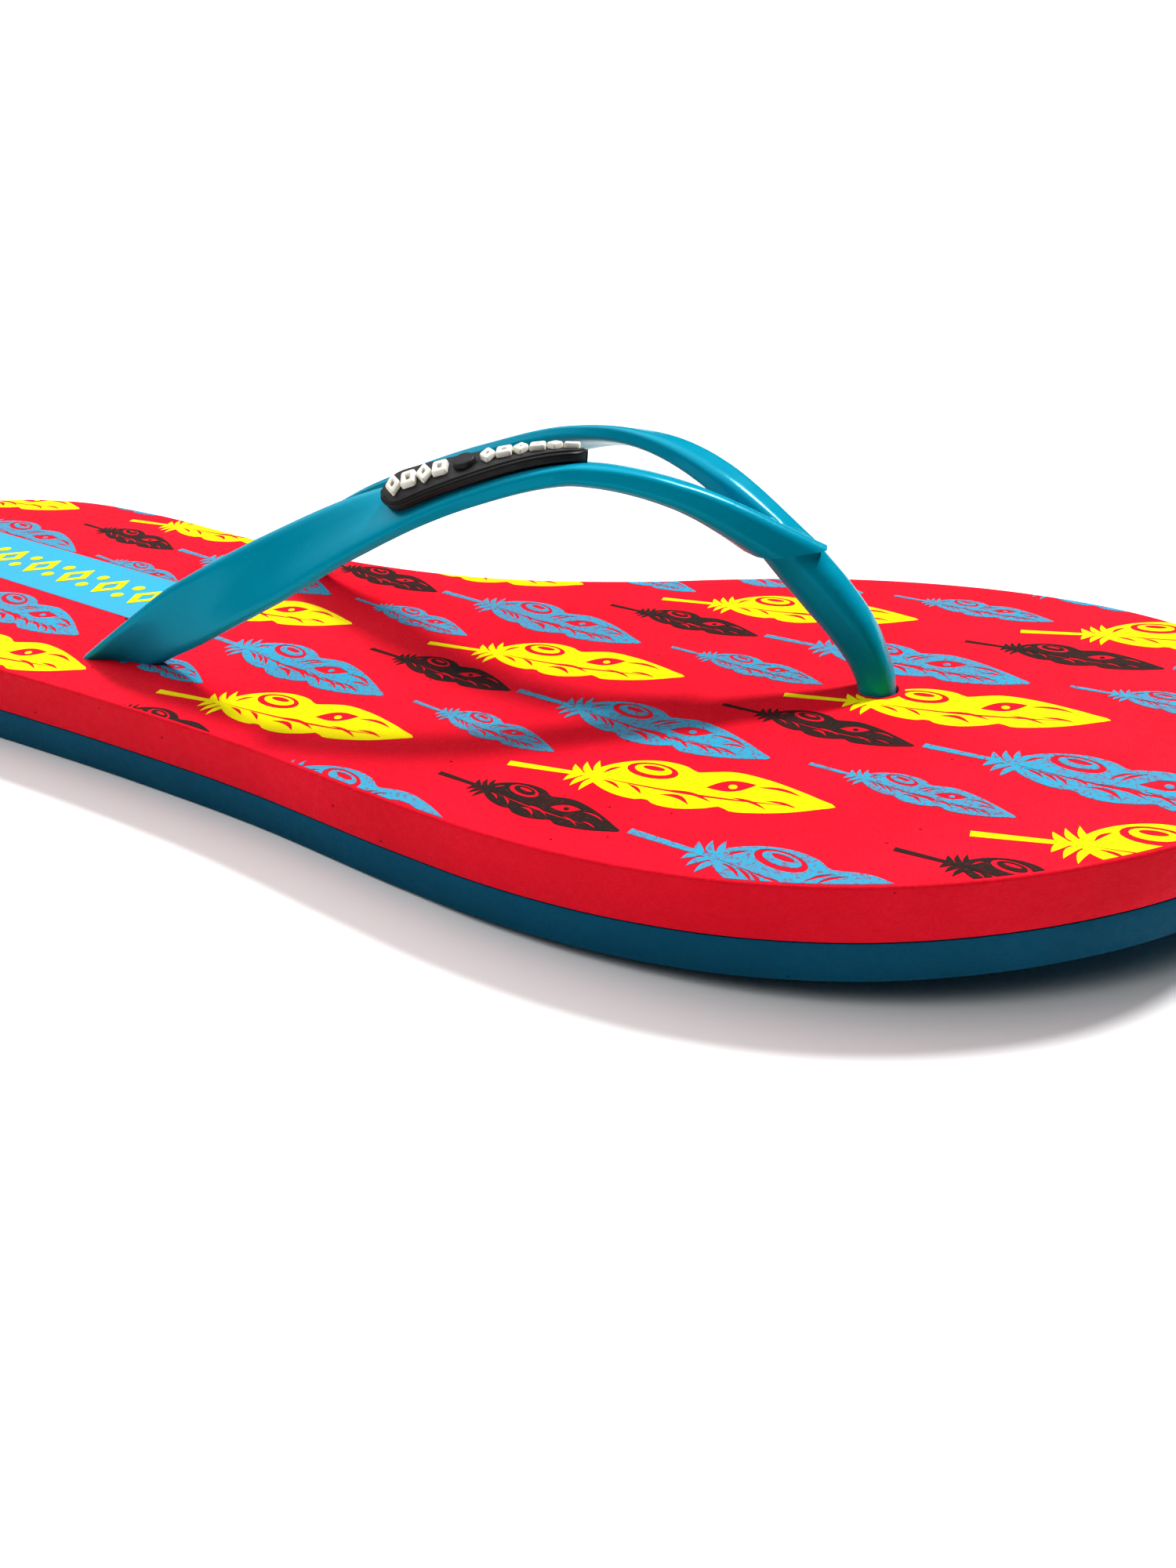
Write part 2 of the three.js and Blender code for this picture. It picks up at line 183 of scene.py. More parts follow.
def curve_point(points, t, closed=False):
    """A centripetal Catmull-Rom curve through the points, at t from 0 to 1."""
    count = len(points)
    place = t * (count if closed else count - 1)
    index = int(math.floor(place))
    if not closed:
        index = min(index, count - 2)
    s = place - index

    def at(k):
        if closed or 0 <= k < count:
            return np.array(points[k % count], float)
        return 2 * at(0) - at(1) if k < 0 else 2 * at(count - 1) - at(count - 2)

    a, b, c, d = (at(k) for k in range(index - 1, index + 3))
    ab, bc, cd = (math.sqrt(max(np.linalg.norm(q - p), 1e-6)) for p, q in ((a, b), (b, c), (c, d)))
    leave = ((b - a) / ab - (c - a) / (ab + bc) + (c - b) / bc) * bc
    arrive = ((c - b) / bc - (d - b) / (bc + cd) + (d - c) / cd) * bc
    s2, s3 = s ** 2, s ** 3
    place = b * (1 - 3 * s2 + 2 * s3) + c * (3 * s2 - 2 * s3)
    return place + leave * (s - 2 * s2 + s3) + arrive * (s3 - s2)


def curve_tangent(points, t):
    step = 1e-3
    ahead, behind = min(1.0, t + step), max(0.0, t - step)
    return unit(curve_point(points, ahead) - curve_point(points, behind))


def even_points(points, step, closed=False):
    """Points at about even steps along a curve."""
    samples = [curve_point(points, i / CURVE_SAMPLES, closed) for i in range(CURVE_SAMPLES + 1)]
    fine = np.array(samples)
    run = np.concatenate([[0], np.cumsum(np.linalg.norm(np.diff(fine, axis=0), axis=1))])
    count = max(2, int(round(run[-1] / step)))
    marks = np.linspace(0, run[-1], count + 1)
    return np.stack([np.interp(marks, run, fine[:, k]) for k in range(fine.shape[1])], axis=1)


def inside(polygon, points):
    """Which points lie in a polygon, by the even-odd rule."""
    polygon, points = np.asarray(polygon, float), np.asarray(points, float)
    x, y = points[:, 0], points[:, 1]
    result = np.zeros(len(points), bool)
    for (x0, y0), (x1, y1) in zip(polygon, np.roll(polygon, -1, axis=0)):
        if y0 == y1:
            continue
        crosses = (y0 > y) != (y1 > y)
        result ^= crosses & (x < (x1 - x0) * (y - y0) / (y1 - y0) + x0)
    return result


def oval(centre, long, short, turn=0.0, sides=18):
    c, s = math.cos(turn), math.sin(turn)
    points = []
    for i in range(sides):
        a = 2 * math.pi * i / sides
        x, y = long * math.cos(a), short * math.sin(a)
        points.append((centre[0] + x * c - y * s, centre[1] + x * s + y * c))
    return points


def circle(centre, radius, sides=36):
    return oval(centre, radius, radius, 0.0, sides)


def left_of(run):
    return np.array([-run[1], run[0]])


def smoothstep(low, high, value):
    t = min(1.0, max(0.0, (value - low) / (high - low)))
    return t * t * (3 - 2 * t)


def turn_outward(mesh):
    work = bmesh.new()
    work.from_mesh(mesh)
    bmesh.ops.recalc_face_normals(work, faces=work.faces)
    work.to_mesh(mesh)
    work.free()


def new_object(name, vertices, faces, material, sharp_angle=35):
    piece = scratch_object(name, vertices, faces)
    finish_mesh(piece, material, sharp_angle)
    return piece


def scratch_object(name, vertices, faces):
    """A solid with its faces turned outward, still without a material."""
    mesh = bpy.data.meshes.new(name)
    mesh.from_pydata([tuple(v) for v in vertices], [], faces)
    turn_outward(mesh)
    piece = bpy.data.objects.new(name, mesh)
    scene.collection.objects.link(piece)
    return piece


def finish_mesh(piece, material, sharp_angle):
    """Outward faces, smooth shading up to an angle, and one material."""
    mesh = piece.data
    turn_outward(mesh)
    for face in mesh.polygons:
        face.use_smooth = True
        face.material_index = 0
    mesh.materials.clear()
    mesh.materials.append(material)
    mesh.set_sharp_from_angle(angle=math.radians(sharp_angle))


# ---- Materials


class Nodes:
    """A short way to write a material's or a world's nodes."""

    def __init__(self, owner, surface="Principled BSDF", place="Object"):
        self.owner = owner
        owner.use_nodes = True
        self.tree = owner.node_tree
        self.surface = self.tree.nodes[surface]
        self.place = self.tree.nodes.new("ShaderNodeTexCoord").outputs[place]

    def add(self, kind, sockets=None, **values):
        node = self.tree.nodes.new(kind)
        for key, value in values.items():
            setattr(node, key, value)
        for key, value in (sockets or {}).items():
            node.inputs[key].default_value = value
        return node

    def link(self, source, target):
        self.tree.links.new(source, target)

    def noise(self, scale, detail=2.0, roughness=0.5):
        sockets = {"Scale": scale, "Detail": detail, "Roughness": roughness}
        node = self.add("ShaderNodeTexNoise", sockets)
        self.link(self.place, node.inputs["Vector"])
        return node.outputs["Fac"]

    def cells(self, scale):
        node = self.add("ShaderNodeTexVoronoi", {"Scale": scale})
        self.link(self.place, node.inputs["Vector"])
        return node.outputs["Distance"]

    def ramp(self, source, stops):
        node = self.add("ShaderNodeValToRGB")
        elements = node.color_ramp.elements
        while len(elements) < len(stops):
            elements.new(0.5)
        for element, (position, colour) in zip(elements, stops):
            element.position = position
            element.color = (*colour, 1) if len(colour) == 3 else colour
        self.link(source, node.inputs["Fac"])
        return node.outputs["Color"]

    def colour(self, source):
        self.link(source, self.surface.inputs["Base Color"])

    def roughness(self, source, low, high, start=0.3, end=0.7):
        """Roughness from low to high as the source goes from start to end."""
        ramp = self.ramp(source, [(start, (low,) * 3), (end, (high,) * 3)])
        self.link(ramp, self.surface.inputs["Roughness"])

    def mix(self, share, a, b):
        node = self.add("ShaderNodeMix", data_type="RGBA")
        for value, socket in ((share, node.inputs[0]), (a, node.inputs[6]), (b, node.inputs[7])):
            if isinstance(value, (tuple, float)):
                socket.default_value = (*value, 1) if isinstance(value, tuple) else value
            else:
                self.link(value, socket)
        return node.outputs[2]

    def blend_values(self, a, b, share):
        """The value a, with a share of b added."""
        node = self.add("ShaderNodeMath", {1: share}, operation="MULTIPLY_ADD")
        self.link(b, node.inputs[0])
        self.link(a, node.inputs[2])
        return node.outputs[0]

    def bump(self, height, strength, distance):
        node = self.add("ShaderNodeBump", {"Strength": strength, "Distance": distance})
        self.link(height, node.inputs["Height"])
        self.link(node.outputs["Normal"], self.surface.inputs["Normal"])

    def set(self, **values):
        for key, value in values.items():
            self.surface.inputs[key.replace("_", " ")].default_value = value


def material_nodes(name):
    return Nodes(bpy.data.materials.new(name))


def foam_material(name, colour, shade, speck):
    """Closed-cell foam: fine grain, faint blotches, a few dark specks."""
    nodes = material_nodes(name)
    nodes.set(Specular_IOR_Level=0.11)
    blotches = nodes.ramp(nodes.noise(70, 3), [(0.3, shade), (0.7, colour)])
    grain = nodes.noise(2600, 3, 0.7)
    grained = nodes.mix(nodes.ramp(grain, [(0.35, (0.6,) * 3), (0.6, (0,) * 3)]), blotches, shade)
    dots = nodes.ramp(nodes.cells(230), [(0.028, (1, 1, 1)), (0.05, (0, 0, 0))])
    nodes.colour(nodes.mix(dots, grained, speck))
    nodes.roughness(nodes.noise(900, 3), 0.55, 0.72)
    nodes.bump(nodes.blend_values(grain, nodes.noise(520, 2), 0.6), 0.45, 0.00022)
    return nodes.owner


def ink_material(name, colour, thin, gaps):
    """Screen-printed ink: it lets the foam's grain and a little of its colour through."""
    nodes = material_nodes(name)
    nodes.set(Specular_IOR_Level=0.1)
    speckle = nodes.noise(1900, 4, 0.75)
    cover = nodes.ramp(speckle, [(gaps, (1, 1, 1)), (gaps + 0.09, (0, 0, 0))])
    clouds = nodes.ramp(nodes.noise(120, 2), [(0.35, (0.25,) * 3), (0.65, (0,) * 3)])
    base = nodes.mix(clouds, colour, thin)
    nodes.colour(nodes.mix(cover, base, thin))
    nodes.roughness(speckle, 0.5, 0.66)
    nodes.bump(nodes.noise(2600, 3, 0.7), 0.35, 0.00018)
    return nodes.owner


def vinyl_material():
    """Moulded vinyl: a satin gloss with soft mould texture and faint handling marks."""
    nodes = material_nodes("strap_vinyl")
    nodes.set(Specular_IOR_Level=0.42, Specular_Tint=(0.1, 0.75, 1.0, 1.0))
    nodes.colour(nodes.ramp(nodes.noise(45, 2), [(0.3, (0.0, 0.31, 0.45)), (0.7, (0.0, 0.36, 0.52))]))
    nodes.roughness(nodes.noise(260, 5, 0.65), 0.2, 0.3, 0.35, 0.75)
    nodes.bump(nodes.blend_values(nodes.noise(1400, 2), nodes.noise(160, 2), 1.5), 0.12, 0.00012)
    return nodes.owner


def soft_plastic(name, colour, worn, roughness):
    """The badge's soft plastic, with a fine grain and slightly rubbed patches."""
    nodes = material_nodes(name)
    nodes.set(Specular_IOR_Level=0.3)
    nodes.colour(nodes.ramp(nodes.noise(420, 4, 0.6), [(0.35, colour), (0.75, worn)]))
    nodes.roughness(nodes.noise(700, 3), roughness - 0.06, roughness + 0.08)
    nodes.bump(nodes.noise(2200, 3), 0.2, 0.0001)
    return nodes.owner


# Each foam's colour, its darker shade and the colour of its specks.
FOOTBED = foam_material("footbed_foam", (0.82, 0.008, 0.034), (0.71, 0.004, 0.022), (0.12, 0.004, 0.006))
OUTSOLE = foam_material("outsole_foam", (0.001, 0.106, 0.188), (0.0, 0.085, 0.153), (0.001, 0.03, 0.05))
VINYL = vinyl_material()
BADGE_BLACK = soft_plastic("badge_black", (0.004, 0.004, 0.005), (0.009, 0.009, 0.01), 0.42)
# The badge lip's lighter grey is a painted highlight along the rim round the marks; the round mark uses
# the same grey.
BADGE_GREY = soft_plastic("badge_grey", (0.016, 0.016, 0.018), (0.026, 0.026, 0.028), 0.5)
BADGE_WHITE = soft_plastic("badge_white", (0.9, 0.88, 0.8), (0.82, 0.79, 0.7), 0.45)
# Each ink's colour, what shows where it is thin, and how much of it is missing.
INKS = {
    "yellow": ink_material("yellow_ink", (0.92, 0.80, 0.0), (0.8, 0.5, 0.0), 0.26),
    "blue": ink_material("blue_ink", (0.02, 0.37, 0.56), (0.22, 0.11, 0.2), 0.4),
    "black": ink_material("black_ink", (0.024, 0.018, 0.015), (0.11, 0.012, 0.014), 0.36),
    "sky": ink_material("sky_ink", (0.045, 0.4, 0.58), (0.1, 0.31, 0.48), 0.33),
}

# ---- Foam layers

OUTLINE = even_points(SOLE_OUTLINE, OUTLINE_STEP, closed=True)[:-1]


def cut_chain(front):
    """The outline's stretch in front of or behind the split, with its points' outward directions."""
    count = len(OUTLINE)
    keep = [(p[0] > SOLE_SPLIT) == front for p in OUTLINE]
    start = next(i for i in range(count) if keep[i] and not keep[i - 1])
    chain, outward = [], []

    def crossing(i):
        a, b = OUTLINE[i % count], OUTLINE[(i + 1) % count]
        share = (SOLE_SPLIT - a[0]) / (b[0] - a[0])
        slope = np.array([b[1] - a[1], a[0] - b[0]]) / np.linalg.norm(b - a)
        chain.append(a + (b - a) * share)
        outward.append(np.array([0.0, 1 / slope[1]]))

    crossing(start - 1)
    i = start
    while keep[i % count]:
        before, after = OUTLINE[(i - 1) % count], OUTLINE[(i + 1) % count]
        tangent = unit(after - before)
        chain.append(OUTLINE[i % count])
        outward.append(np.array([tangent[1], -tangent[0]]))
        i += 1
    crossing(i - 1)
    return np.array(chain), np.array(outward)


CHAINS = {"rear": cut_chain(False), "front": cut_chain(True)}


def x_lines():
    """Where the foam and the print have vertices, close together where they bend."""
    lines, x, spans = [], FIRST_X, (sorted(HEEL_BEND), sorted(TOE_BEND))
    while x < LAST_X:
        lines.append(x)
        bending = any(low - BEFORE_BEND < x < high + PAST_BEND for low, high in spans)
        x += BEND_STEP if bending else PLAIN_STEP
    return lines


X_LINES = x_lines()


def side_limits(x, inset, shortest):
    """Lowest and highest y of the outline at x, less an inset, if they are far enough apart."""
    hits = []
    for a, b in zip(OUTLINE, np.roll(OUTLINE, -1, axis=0)):
        if (a[0] - x) * (b[0] - x) < 0:
            hits.append(a[1] + (b[1] - a[1]) * (x - a[0]) / (b[0] - a[0]))
    low, high = min(hits, default=0) + inset, max(hits, default=0) - inset
    return None if high - low < shortest else (low, high)


class FoamLayer:
    """One closed piece of foam: rings of points down its wall, and two flat faces with holes."""

    def __init__(self, part):
        self.chain, self.outward = CHAINS[part]
        self.vertices, self.faces = [], []

    def vertex(self, x, y, level):
        self.vertices.append(row(x, y, spring(x) + level))
        return len(self.vertices) - 1

    def loop(self, points, level):
        return [self.vertex(x, y, level) for x, y in points], points

    def stack(self, loops, closed):
        """Loops of points at their levels, each joined to the next by a strip of faces."""
        rings = [self.loop(points, level) for points, level in loops]
        for (a, _), (b, _) in zip(rings, rings[1:]):
            count = len(a)
            for i in range(count if closed else count - 1):
                j = (i + 1) % count
                self.faces.append((a[i], a[j], b[j], b[i]))
        return rings

    def build(self, levels, profiles, top, bottom):
        """The outer wall, the holes, the two flat faces, and the face where the layer is split."""
        wall = [(self.chain - self.outward * inset, level) for inset, level in levels]
        rings = self.stack(wall, False)
        holes = [self.stack(profile, True) for profile in profiles]
        for end, (level, chains, height) in ((0, top), (-1, bottom)):
            self.flat([rings[end]] + [hole[end] for hole in holes], level, chains, height)
        ends = [ring[-1] for ring, _ in rings] + [ring[0] for ring, _ in reversed(rings)]
        self.faces.append(tuple(ends))
        return self

    def flat(self, boundaries, level, chains, height):
        """Triangles between the boundaries, the first of them the outer one."""
        points, edges, known = [], [], []
        for indices, loop in boundaries:
            base = len(points)
            points += [tuple(p) for p in loop]
            known += list(indices)
            edges += [(base + i, base + (i + 1) % len(loop)) for i in range(len(loop))]
        for chain in chains:
            base = len(points)
            points += chain
            edges += [(base + i, base + i + 1) for i in range(len(chain) - 1)]
        points = [Vector(p) for p in points]
        out, _, triangles, origin, _, _ = delaunay_2d_cdt(points, edges, [], 0, 1e-5, True)
        index = []
        for position, source in zip(out, origin):
            old = [s for s in source if s < len(known)]
            if old:
                index.append(known[old[0]])
            else:
                raised = height(position[0], position[1]) if height else 0.0
                index.append(self.vertex(position[0], position[1], level + raised))
        middles = np.array([np.mean([out[i] for i in t], axis=0) for t in triangles])
        keep = inside(boundaries[0][1], middles)
        for _, loop in boundaries[1:]:
            keep &= ~inside(loop, middles)
        self.faces += [tuple(index[i] for i in t) for t, k in zip(triangles, keep) if k]


def on_part(part, x):
    return (x > SOLE_SPLIT) == (part == "front")


def hole_centres(part):
    return [c for c in (OUTER_ANCHOR, INNER_ANCHOR, POST_HOLE) if on_part(part, c[0])]


def stretches(points, room):
    """The unbroken stretches of a row of points, left open where there is no room."""
    chains, run = [], []
    for point in points:
        if room(point) > 0:
            run.append(point)
        else:
            chains.append(run)
            run = []
    return [run for run in chains + [run] if run]


HOLE_MARGIN, SHORTEST_CHAIN, SPLIT_MARGIN, CHAIN_STEP = 1, 2, 1, 5.0


def room_round(centres, radius):
    """A measure of how far a point is from the nearest circle round a centre."""
    return lambda point: min((math.dist(point, c) - radius for c in centres), default=math.inf)


def face_chains(part, inset, centres):
    """Rows of points across a flat face at each X line, clear of its edge and its holes."""
    chains, room = [], room_round(centres, HOLE_RADIUS + HOLE_MARGIN)
    for x in X_LINES:
        limits = side_limits(x, inset, SHORTEST_CHAIN)
        if not limits or abs(x - SOLE_SPLIT) < SPLIT_MARGIN or not on_part(part, x):
            continue
        count = max(2, int((limits[1] - limits[0]) / CHAIN_STEP))
        points = [(x, y) for y in np.linspace(*limits, count + 1)]
        chains += stretches(points, room)
    return chains


FOOTBED_EDGE, OUTSOLE_EDGE, EDGE_STEPS = 0.45, 0.4, 5  # a layer's rounded outer edge
TOP_INSET, UNDER_INSET, CHAIN_INSET = 0.25, 0.3, 0.8
SEAM_GAP, SEAM_START = 0.02, 0.2
SEAM_EDGE = [(0.06, 0.06), (0.2, 0.0), (0.5, 0.0)]  # inset and height, where the layers meet
WALL_STEPS, WALL_WAVER, FOOTBED_WAVE, OUTSOLE_WAVE = 4, 0.03, 1.7, 2.1
NECK_GAP, MOUTH_FLARE, MOUTH_DEPTH, NECK_STEP = 0.06, 0.15, 0.2, 0.01


def edge_round(edge):
    """Inset and depth at even turns round an edge, from the flat face to the wall."""
    turns = [i / EDGE_STEPS * math.pi / 2 for i in range(EDGE_STEPS + 1)]
    return [(edge * (1 - math.sin(a)), edge * (1 - math.cos(a))) for a in turns]


def footbed_piece(part):
    """The upper foam layer, with a small rounded edge and a tight hole round each plug."""
    edge, low = FOOTBED_EDGE, LAYER_LINE + SEAM_GAP
    levels = [(inset, SOLE_TOP - depth) for inset, depth in [(edge + TOP_INSET, 0)] + edge_round(edge)]
    depth = SOLE_TOP - edge - low - SEAM_START
    wall = [SOLE_TOP - edge - k * depth / WALL_STEPS for k in range(1, WALL_STEPS + 1)]
    levels += [(WALL_WAVER * math.sin(k * FOOTBED_WAVE), level) for k, level in enumerate(wall)]
    levels += [(inset, low + height) for inset, height in SEAM_EDGE]
    centres, profiles = hole_centres(part), []
    for centre in centres:
        narrow = POST_HOLE_RADIUS if part == "front" else NECK_RADIUS + NECK_GAP
        mouth, throat = circle(centre, narrow + MOUTH_FLARE), circle(centre, narrow)
        bore = circle(centre, HOLE_RADIUS)
        profile = [(mouth, SOLE_TOP), (throat, SOLE_TOP - MOUTH_DEPTH), (throat, NECK_FOOT)]
        profiles.append(profile + [(bore, NECK_FOOT - NECK_STEP), (bore, low)])
    chains = face_chains(part, edge + CHAIN_INSET, centres)
    return FoamLayer(part).build(levels, profiles, (SOLE_TOP, chains, None), (low, chains, None))


GROOVE_PITCH, GROOVE_DEPTH, GROOVE_TOP, GROOVE_FLOOR = 7.0, 0.9, 2.2, 1.2
GROOVE_WAVE, GROOVE_WAVELENGTH, GROOVE_MARGIN = 1.5, 17.0, 4.5
FIRST_GROOVE, SHORTEST_GROOVE, GROOVE_STEP = 12.0, 8, 2
GROOVE_FADE, RECESS_MARGIN, GROOVE_SPLIT_MARGIN = 2.5, 2, 4


def tread(part, centres):
    """Wavy grooves across the underside: rows of points, and how far each point is raised."""
    chains, raised = [], {}
    room = room_round(centres, RECESS_RADIUS + RECESS_MARGIN)
    for k in range(int((SOLE_LENGTH - 2 * FIRST_GROOVE) / GROOVE_PITCH) + 1):
        middle = FIRST_GROOVE + k * GROOVE_PITCH
        limits = side_limits(middle, GROOVE_MARGIN, SHORTEST_GROOVE)
        if not limits or abs(middle - SOLE_SPLIT) < GROOVE_SPLIT_MARGIN or not on_part(part, middle):
            continue
        for offset in (-GROOVE_TOP / 2, -GROOVE_FLOOR / 2, GROOVE_FLOOR / 2, GROOVE_TOP / 2):
            points = []
            for y in np.linspace(*limits, int((limits[1] - limits[0]) / GROOVE_STEP) + 1):
                wave = GROOVE_WAVE * math.sin(2 * math.pi * y / GROOVE_WAVELENGTH)
                points.append((middle + offset + wave, y))
            chains += [run for run in stretches(points, room) if len(run) > 1]
            if abs(offset) == GROOVE_FLOOR / 2:
                for x, y in points:
                    near = min(y - limits[0], limits[1] - y, room((x, y)))
                    raised[(round(x, 3), round(y, 3))] = GROOVE_DEPTH * smoothstep(0, GROOVE_FADE, near)
    return chains, raised


RECESS_FLARE, OUTSOLE_CHAIN_INSET = 0.3, 1.3


def outsole_piece(part):
    """The lower foam layer, with round recesses for the plugs' discs and a grooved underside."""
    top, edge = LAYER_LINE - SEAM_GAP, OUTSOLE_EDGE
    levels = [(inset, top - height) for inset, height in reversed(SEAM_EDGE)]
    depth = top - edge - SEAM_START
    wall = [top - SEAM_START - k * depth / WALL_STEPS for k in range(WALL_STEPS + 1)]
    levels += [(WALL_WAVER * math.sin(k * OUTSOLE_WAVE), level) for k, level in enumerate(wall)]
    levels += [(depth, inset) for inset, depth in edge_round(edge)[1:]]
    levels.append((edge + UNDER_INSET, 0.0))
    centres, profiles = hole_centres(part), []
    for centre in centres:
        throat, mouth = circle(centre, HOLE_RADIUS), circle(centre, RECESS_RADIUS)
        lip = circle(centre, RECESS_RADIUS + RECESS_FLARE)
        profile = [(throat, top), (throat, RECESS_DEPTH), (mouth, RECESS_DEPTH), (mouth, RECESS_FLARE)]
        profiles.append(profile + [(lip, 0.0)])
    chains, raised = tread(part, centres)

    def rise(x, y):
        return raised.get((round(x, 3), round(y, 3)), 0.0)

    ceiling = face_chains(part, OUTSOLE_CHAIN_INSET, centres)
    return FoamLayer(part).build(levels, profiles, (top, ceiling, None), (0.0, chains, rise))


def bend_with_sole(piece):
    """Bakes a sole or print piece's placement into its mesh."""
    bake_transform(piece)


def make_sole():
    replaced = {"rear": ("heel", "mid"), "front": ("toe",)}
    layers = (("footbed", footbed_piece, FOOTBED), ("outsole", outsole_piece, OUTSOLE))
    for name, build, material in layers:
        for part, ends in replaced.items():
            layer = build(part)
            piece = new_object(f"{name}_{part}", layer.vertices, layer.faces, material)
            bend_with_sole(piece)
            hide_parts(*[f"{name}_{end}" for end in ends])


# ---- Print

INK_RISE, INK_SUNK, INK_EDGE = 0.05, 0.05, 0.5
MARK_INK_RISE = INK_RISE + 0.05  # the band's marks are printed over the band
HOLE_KEEP_OUT, BAND_KEEP_OUT, SHAPE_MARGIN, SLIVER = 0.7, 0.25, 0.5, 1e-5
PRINT_ORIGIN = np.array([104.14, -29.32])
PRINT_STEPS = (np.array([54.69, 0.94]), np.array([26.5, 28.83]))
# Each feather of a repeat: ink, quill end and tip in repeats, width as a share of length.
FEATHERS = [
    ("yellow", (0.0, 0.0), (0.703, 0.061), 0.15),
    ("black", (-0.04, -0.176), (0.52, -0.356), 0.14),
    ("blue", (-0.47, 0.66), (0.366, 0.374), 0.145),
    ("blue", (-0.55, 0.38), (0.0, 0.155), 0.135),
]
FEATHER_ROOM = 7  # a feather's reach to each side of its quill
REPEATS = [(i, j) for i in range(-4, 6) for j in range(-3, 4)]
BAND_START, BAND_END, BAND_HALF = np.array([20.5, 5.6]), np.array([84.0, -3.9]), 7.2
BAND_LENGTH = np.linalg.norm(BAND_END - BAND_START)
BAND_RUN = unit(BAND_END - BAND_START)
BAND_FIRST_MARK, BAND_MARK_STEP, BAND_MARK_SLANT = 0.7, 4.6, 0.2
LOZENGE, LOZENGE_HOLE = (2.6, 3.5), (1.2, 1.7)  # half widths and half heights
DOT_OFFSET, DOT_HALF = 1.9, 0.95
FEATHER_TOP = [
    (0.26, 0.05), (0.29, 0.42), (0.36, 0.76), (0.45, 0.92), (0.53, 0.84), (0.575, 0.66), (0.605, 0.72),
    (0.68, 0.84), (0.78, 0.71), (0.88, 0.44), (0.95, 0.2), (1.0, 0.0),
]
FEATHER_UNDER = [
    (0.96, -0.15), (0.88, -0.4), (0.79, -0.57), (0.72, -0.62), (0.685, -0.5), (0.65, -0.62),
    (0.57, -0.77), (0.5, -0.72), (0.47, -0.58), (0.44, -0.64), (0.37, -0.56), (0.3, -0.3),
]
QUILL = [(0, 0.014), (0.16, 0.011), (0.34, 0.008), (0.34, -0.008), (0.16, -0.011), (0, -0.014)]
BARBS = [(0.20, 0.05, 0.34), (0.235, 0.055, 0.5), (0.265, 0.05, 0.62)]
BARB_WIDTH, BARB_BOW, BARB_ROOT, SLIT_WIDTH, SLIT_BOW, VANE_STEP = 0.024, 0.15, 0.05, 0.085, 0.1, 0.02
SLITS = [
    ((0.31, -0.1), (0.38, -0.36)), ((0.39, -0.12), (0.45, -0.44)), ((0.7, -0.12), (0.82, -0.42)),
    ((0.8, -0.1), (0.9, -0.24)), ((0.3, 0.14), (0.345, 0.5)),
]
RICH_SLITS = SLITS + [
    ((0.35, -0.1), (0.42, -0.4)), ((0.45, -0.1), (0.5, -0.3)), ((0.58, -0.1), (0.66, -0.3)),
    ((0.75, -0.11), (0.86, -0.34)), ((0.54, 0.1), (0.6, 0.56)), ((0.82, 0.1), (0.9, 0.16)),
    ((0.64, -0.1), (0.74, -0.46)), ((0.57, 0.12), (0.63, 0.6)),
]


def lens(start, end, width, bow=0.0, steps=7):
    """A pointed leaf from start to end, bowed to one side."""
    start, end = np.array(start, float), np.array(end, float)
    run = end - start
    side = left_of(run)
    edge = side / np.linalg.norm(run)
    points = []
    for first, last in ((0, 1), (1, 0)):
        for s in np.linspace(first, last, steps + 1)[:-1]:
            swell = math.sin(math.pi * s)
            middle = start + run * s + side * (bow * swell)
            points.append(middle + edge * (last - first) * width / 2 * swell)
    return points


def feather_shapes(w, rich):
    """A feather along X from 0 to 1, of half width w, as shapes that add or take away ink in turn."""
    vane = [(x, y * w) for x, y in FEATHER_TOP + FEATHER_UNDER]
    shapes = [(True, QUILL)]
    for base, reach, rise in BARBS:
        for sign in (1, -1):
            tip = (base - reach + BARB_ROOT, sign * rise * w)
            shapes.append((True, lens((base + BARB_ROOT, 0.0), tip, BARB_WIDTH, sign * BARB_BOW)))
    shapes += [
        (True, even_points(vane, VANE_STEP, closed=True)[:-1]),
        (False, lens((0.27, 0.0), (0.92, -0.02), 0.010, -0.03, 12)),
        (False, oval((0.44, 0.5 * w), 0.082, 0.3 * w, -0.1)),
        (True, oval((0.44, 0.54 * w), 0.06, 0.2 * w, -0.1)),
        (False, oval((0.44, 0.6 * w), 0.036, 0.085 * w, -0.1)),
        (True, oval((0.355, 0.36 * w), 0.011, 0.07 * w)),
        (False, lens((0.62, 0.13 * w), (0.76, 0.46 * w), 0.42 * w, 0.0, 9)),
        (True, oval((0.695, 0.28 * w), 0.013, 0.085 * w)),
        (False, lens((0.76, 0.36 * w), (0.9, 0.2 * w), 0.1 * w, 0.12)),
        (False, lens((0.5, -0.36 * w), (0.6, -0.6 * w), 0.13 * w, 0.2)),
        (False, lens((0.52, -0.14 * w), (0.66, -0.4 * w), 0.1 * w, 0.1)),
    ]
    for (x0, y0), (x1, y1) in RICH_SLITS if rich else SLITS:
        shapes.append((False, lens((x0, y0 * w), (x1, y1 * w), SLIT_WIDTH * w, SLIT_BOW)))
    return shapes


def placed(shapes, start, run, slant=0.0):
    """Shapes set on the footbed, with X along a run from its start."""
    side, result = left_of(run), []
    for adds, points in shapes:
        result.append((adds, [start + run * (x + slant * y) + side * y for x, y in points]))
    return result


def band_outline(grow=0.0):
    side = left_of(BAND_RUN) * (BAND_HALF + grow)
    a, b = BAND_START - BAND_RUN * grow, BAND_END + BAND_RUN * grow
    return [a - side, b - side, b + side, a + side]


def lozenge(half):
    return [(0, -half[1]), (half[0], 0), (0, half[1]), (-half[0], 0)]


